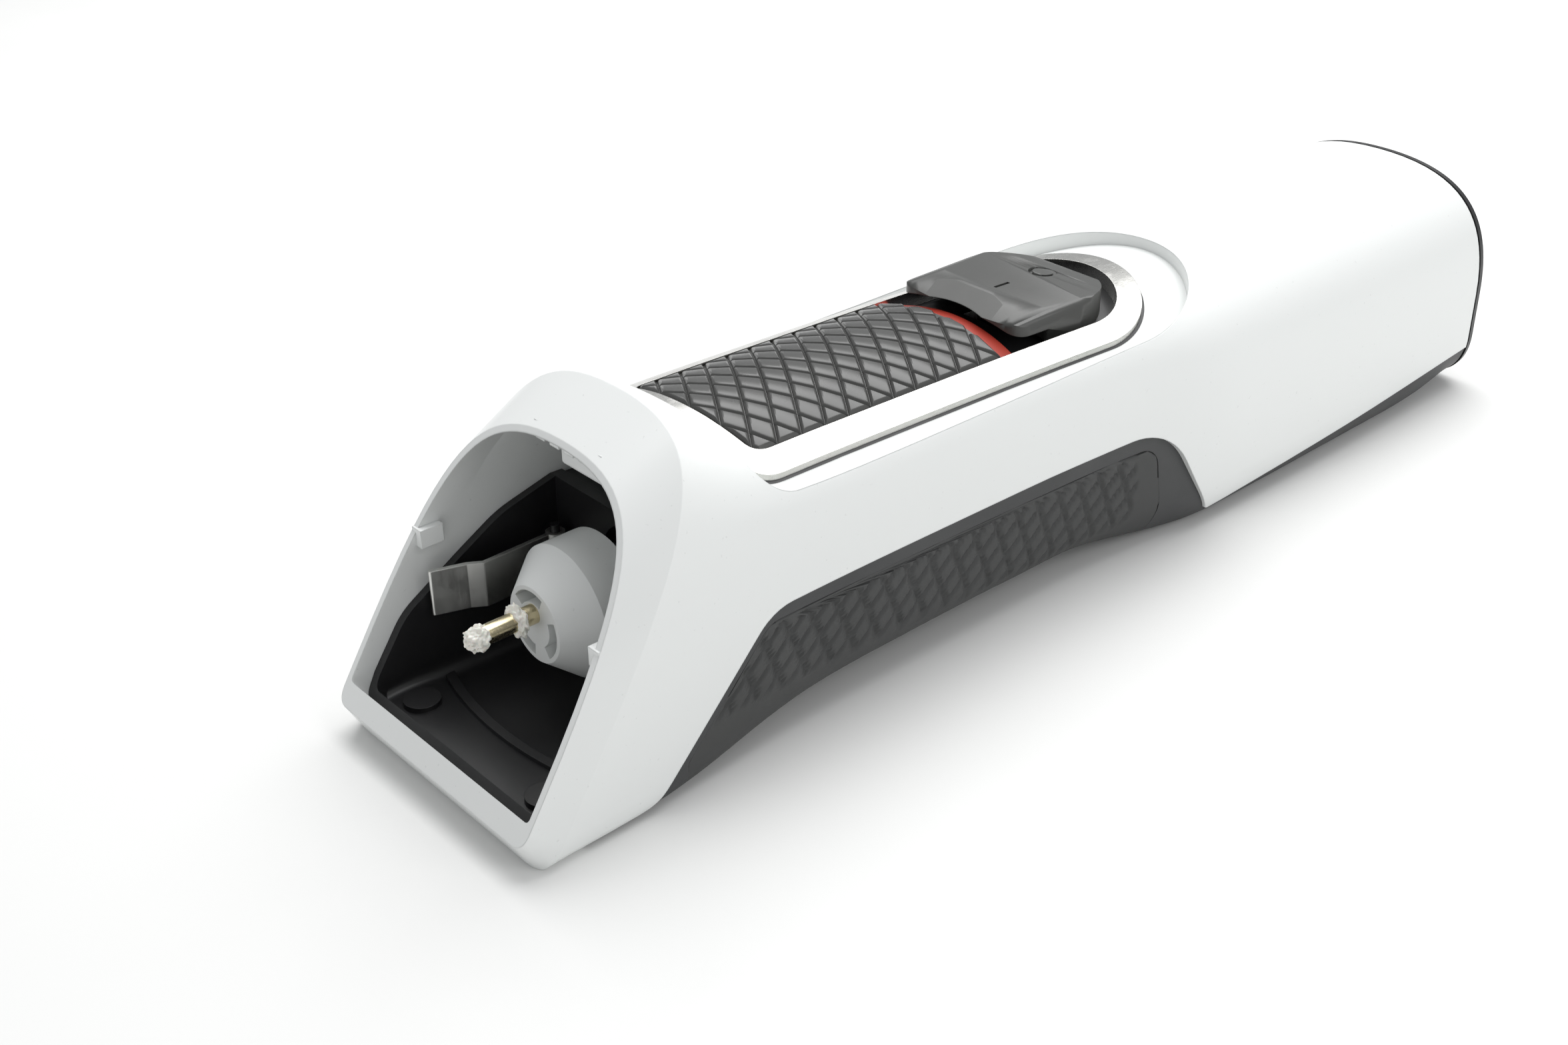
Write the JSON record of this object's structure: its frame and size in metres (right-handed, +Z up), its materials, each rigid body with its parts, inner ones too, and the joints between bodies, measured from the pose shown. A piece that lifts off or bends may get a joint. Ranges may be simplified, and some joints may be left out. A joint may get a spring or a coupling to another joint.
{
  "type": "electric shaver handle",
  "caption": "Cordless shaver handle with its cutting head off: open slanted mouth, drive cone and pin, thumb grip, slide switch and rubber finger grip.",
  "frame": {"origin": "middle of the bounding box, at its base, where the underside rests", "axes": "+Y from the open mouth to the tail, +Z up through the thumb switch, +X to the right seen from the mouth end"},
  "size_m": [0.0348, 0.1514, 0.0353],
  "materials": {
    "shell_white": "satin gloss",
    "housing_grey": "soft matte",
    "grip_rubber": "textured matte",
    "pad_rubber": "knurled satin",
    "black_plastic": "satin moulded",
    "switch_black": "satin top, polished lip",
    "red_plastic": "satin",
    "trim_steel": "brushed",
    "spring_steel": "rolled strip",
    "screw_steel": "zinc plated",
    "motor_steel": "zinc plated",
    "shaft_steel": "ground",
    "bronze": "sintered",
    "pin_brass": "turned",
    "white_plastic": "moulded acetal",
    "magnet": "ferrite",
    "copper": "copper alloy",
    "board_green": "solder mask",
    "component_black": "moulded package",
    "cell_steel": "nickel plated",
    "cell_wrap": "shrink film",
    "wire_red": "insulation",
    "light_clear": "clear light pipe"
  },
  "bodies": {
    "handle": {"top_cover": "shell_white", "lower_housing": "housing_grey", "finger_grip": "grip_rubber", "trim_ring": "trim_steel", "thumb_tray": "black_plastic", "thumb_grip": "pad_rubber", "red_accent": "red_plastic", "tail_seal": "pad_rubber", "tail_cap": "black_plastic", "housing_screws": "screw_steel", "inner_frame": "black_plastic", "motor_mount": "black_plastic", "motor_screws": "screw_steel", "motor_can": "motor_steel", "motor_magnets": "magnet", "motor_end_bell": "black_plastic", "front_bushing": "bronze", "rear_bushing": "bronze", "motor_terminals": "copper", "motor_leads": "wire_red", "circuit_board": "board_green", "board_components": "component_black", "switch_contacts": "copper", "battery_cell": "cell_steel", "battery_wrap": "cell_wrap", "battery_cap": "cell_steel", "battery_tab_front": "cell_steel", "battery_tab_rear": "cell_steel", "charge_jack": "black_plastic", "jack_contacts": "copper", "charge_leads": "wire_red", "charge_light": "light_clear", "charge_led": "light_clear"},
    "switch": {"switch_button": "switch_black", "switch_slider": "black_plastic", "contact_bridge": "copper"},
    "drive": {"motor_shaft": "shaft_steel", "rotor_core": "motor_steel", "commutator": "copper", "drive_cone": "white_plastic", "drive_pin": "pin_brass"},
    "latch_left": {"latch_spring_left": "spring_steel"},
    "latch_right": {"latch_spring_right": "spring_steel"}
  },
  "joints": [
    {"name": "switch_slide", "type": "slide", "parent": "handle", "child": "switch", "axis": [0, -1, 0], "range_m": [0, 0.003]},
    {"name": "drive_spin", "type": "hinge", "parent": "handle", "child": "drive", "pos_m": [0, -0.05432, 0.014], "axis": [0, 1, 0], "continuous": true},
    {"name": "latch_left_flex", "type": "hinge", "parent": "handle", "child": "latch_left", "pos_m": [-0.011, -0.05172, 0.013], "axis": [0, 0, 1], "range_deg": [0, 5], "stiffness_Nm_per_rad": 0.3},
    {"name": "latch_right_flex", "type": "hinge", "parent": "handle", "child": "latch_right", "pos_m": [0.011, -0.05172, 0.013], "axis": [0, 0, -1], "range_deg": [0, 5], "stiffness_Nm_per_rad": 0.3}
  ]
}
